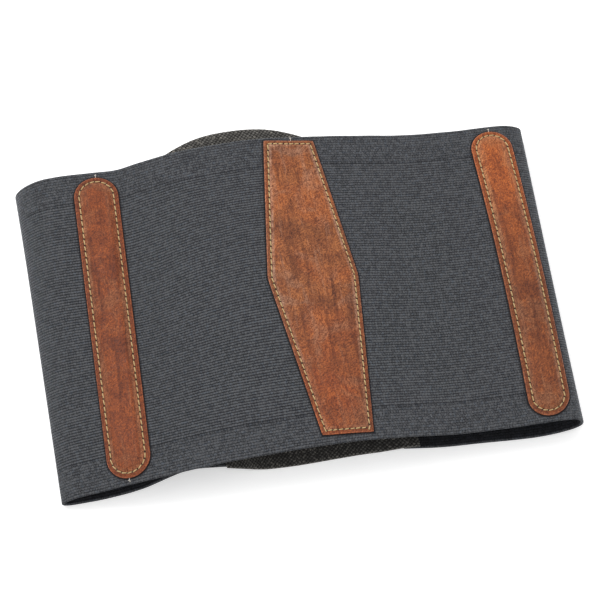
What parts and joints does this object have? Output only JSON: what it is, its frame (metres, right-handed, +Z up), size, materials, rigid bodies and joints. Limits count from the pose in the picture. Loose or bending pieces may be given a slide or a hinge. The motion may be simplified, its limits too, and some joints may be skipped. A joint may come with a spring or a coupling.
{
  "type": "lumbar support belt",
  "caption": "Wide elastic back support belt with a padded tweed front panel and leather reinforcements, lying flattened with its back up.",
  "frame": {"origin": "middle of the underside of the flattened belt, on the surface that it lies on", "axes": "+X along the flat width, to the right as the back is seen from above, +Y up the belt as worn, +Z up from the surface"},
  "size_m": [0.3978, 0.2922, 0.0544],
  "materials": {
    "elastic": "matt charcoal ribbed elastic webbing",
    "tweed": "matt black and brown tweed of basket weave",
    "leather": "brown oiled leather with a brushed, mottled surface and yellow stitching"
  },
  "bodies": {
    "root": {"elastic_band": "elastic", "front_panel": "tweed", "left_strip": "leather", "right_strip": "leather", "back_patch": "leather"}
  },
  "joints": []
}
